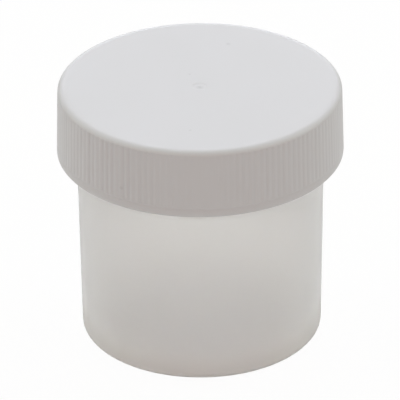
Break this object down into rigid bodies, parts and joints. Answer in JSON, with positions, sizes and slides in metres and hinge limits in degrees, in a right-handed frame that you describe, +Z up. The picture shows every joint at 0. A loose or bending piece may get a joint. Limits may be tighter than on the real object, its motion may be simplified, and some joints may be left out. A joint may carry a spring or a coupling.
{
  "type": "slide staining jar",
  "caption": "Wide-mouth round jar in translucent plastic with a ribbed white screw cap and sealing liner, for standing microscope slides on end in stain.",
  "frame": {"origin": "centre of the surface that the jar stands on, on the jar's axis", "axes": "+Z up along the axis of the jar and of its screw thread; +X to the right and +Y to the back, as the jar is seen from the front"},
  "size_m": [0.09, 0.09, 0.0843],
  "materials": {
    "natural_polypropylene": "satin",
    "white_polypropylene": "satin",
    "liner_foam": "matte"
  },
  "bodies": {
    "jar": {"jar": "natural_polypropylene"},
    "liner": {"cap_liner": "liner_foam"},
    "cap": {"cap": "white_polypropylene"}
  },
  "joints": [
    {"name": "cap_lift", "type": "slide", "parent": "jar", "child": "liner", "axis": [0, 0, 1], "range_m": [0, 0.0075]},
    {"name": "cap_turn", "type": "hinge", "parent": "liner", "child": "cap", "pos_m": [0, 0, 0.0733], "axis": [0, 0, 1], "range_deg": [0, 540]}
  ],
  "couplings": [
    {"joint": "cap_lift", "follows": "cap_turn", "m_per_rad": 0.00079577}
  ]
}
